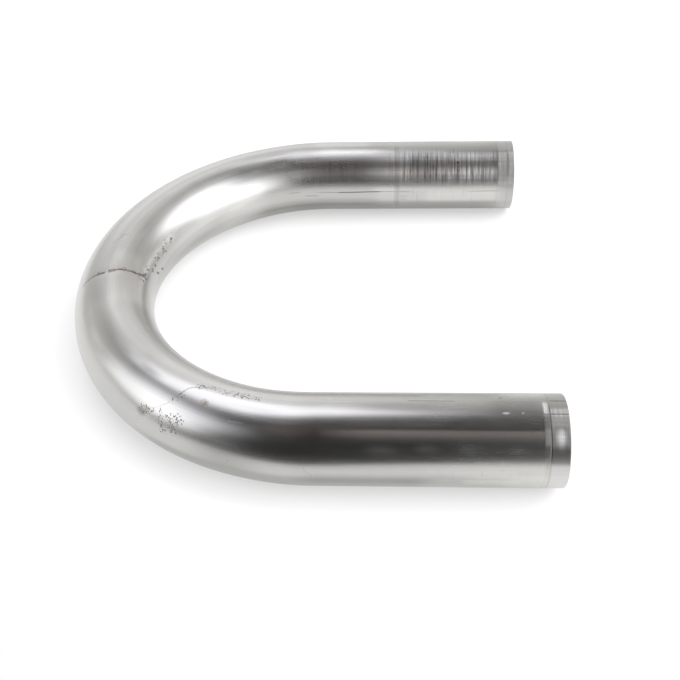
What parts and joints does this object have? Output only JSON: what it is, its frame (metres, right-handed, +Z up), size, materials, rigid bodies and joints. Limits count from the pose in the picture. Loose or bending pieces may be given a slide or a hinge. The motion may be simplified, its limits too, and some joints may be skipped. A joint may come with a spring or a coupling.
{
  "type": "return bend",
  "caption": "Thin-walled round steel tube bent back on itself through a half turn, with parallel straight legs and open square-cut ends.",
  "frame": {"origin": "on the surface that the tube lies on, under the middle of its bounding box", "axes": "+X along the straight legs towards their open ends, +Y across from the one leg to the other, +Z up, square to the plane of the bend"},
  "size_m": [0.2216, 0.2414, 0.0381],
  "materials": {
    "satin_steel": "drawn satin steel, unpainted, with die and clamp marks, light scratches and a few rust stains"
  },
  "bodies": {
    "root": {"bent_tube": "satin_steel"}
  },
  "joints": []
}
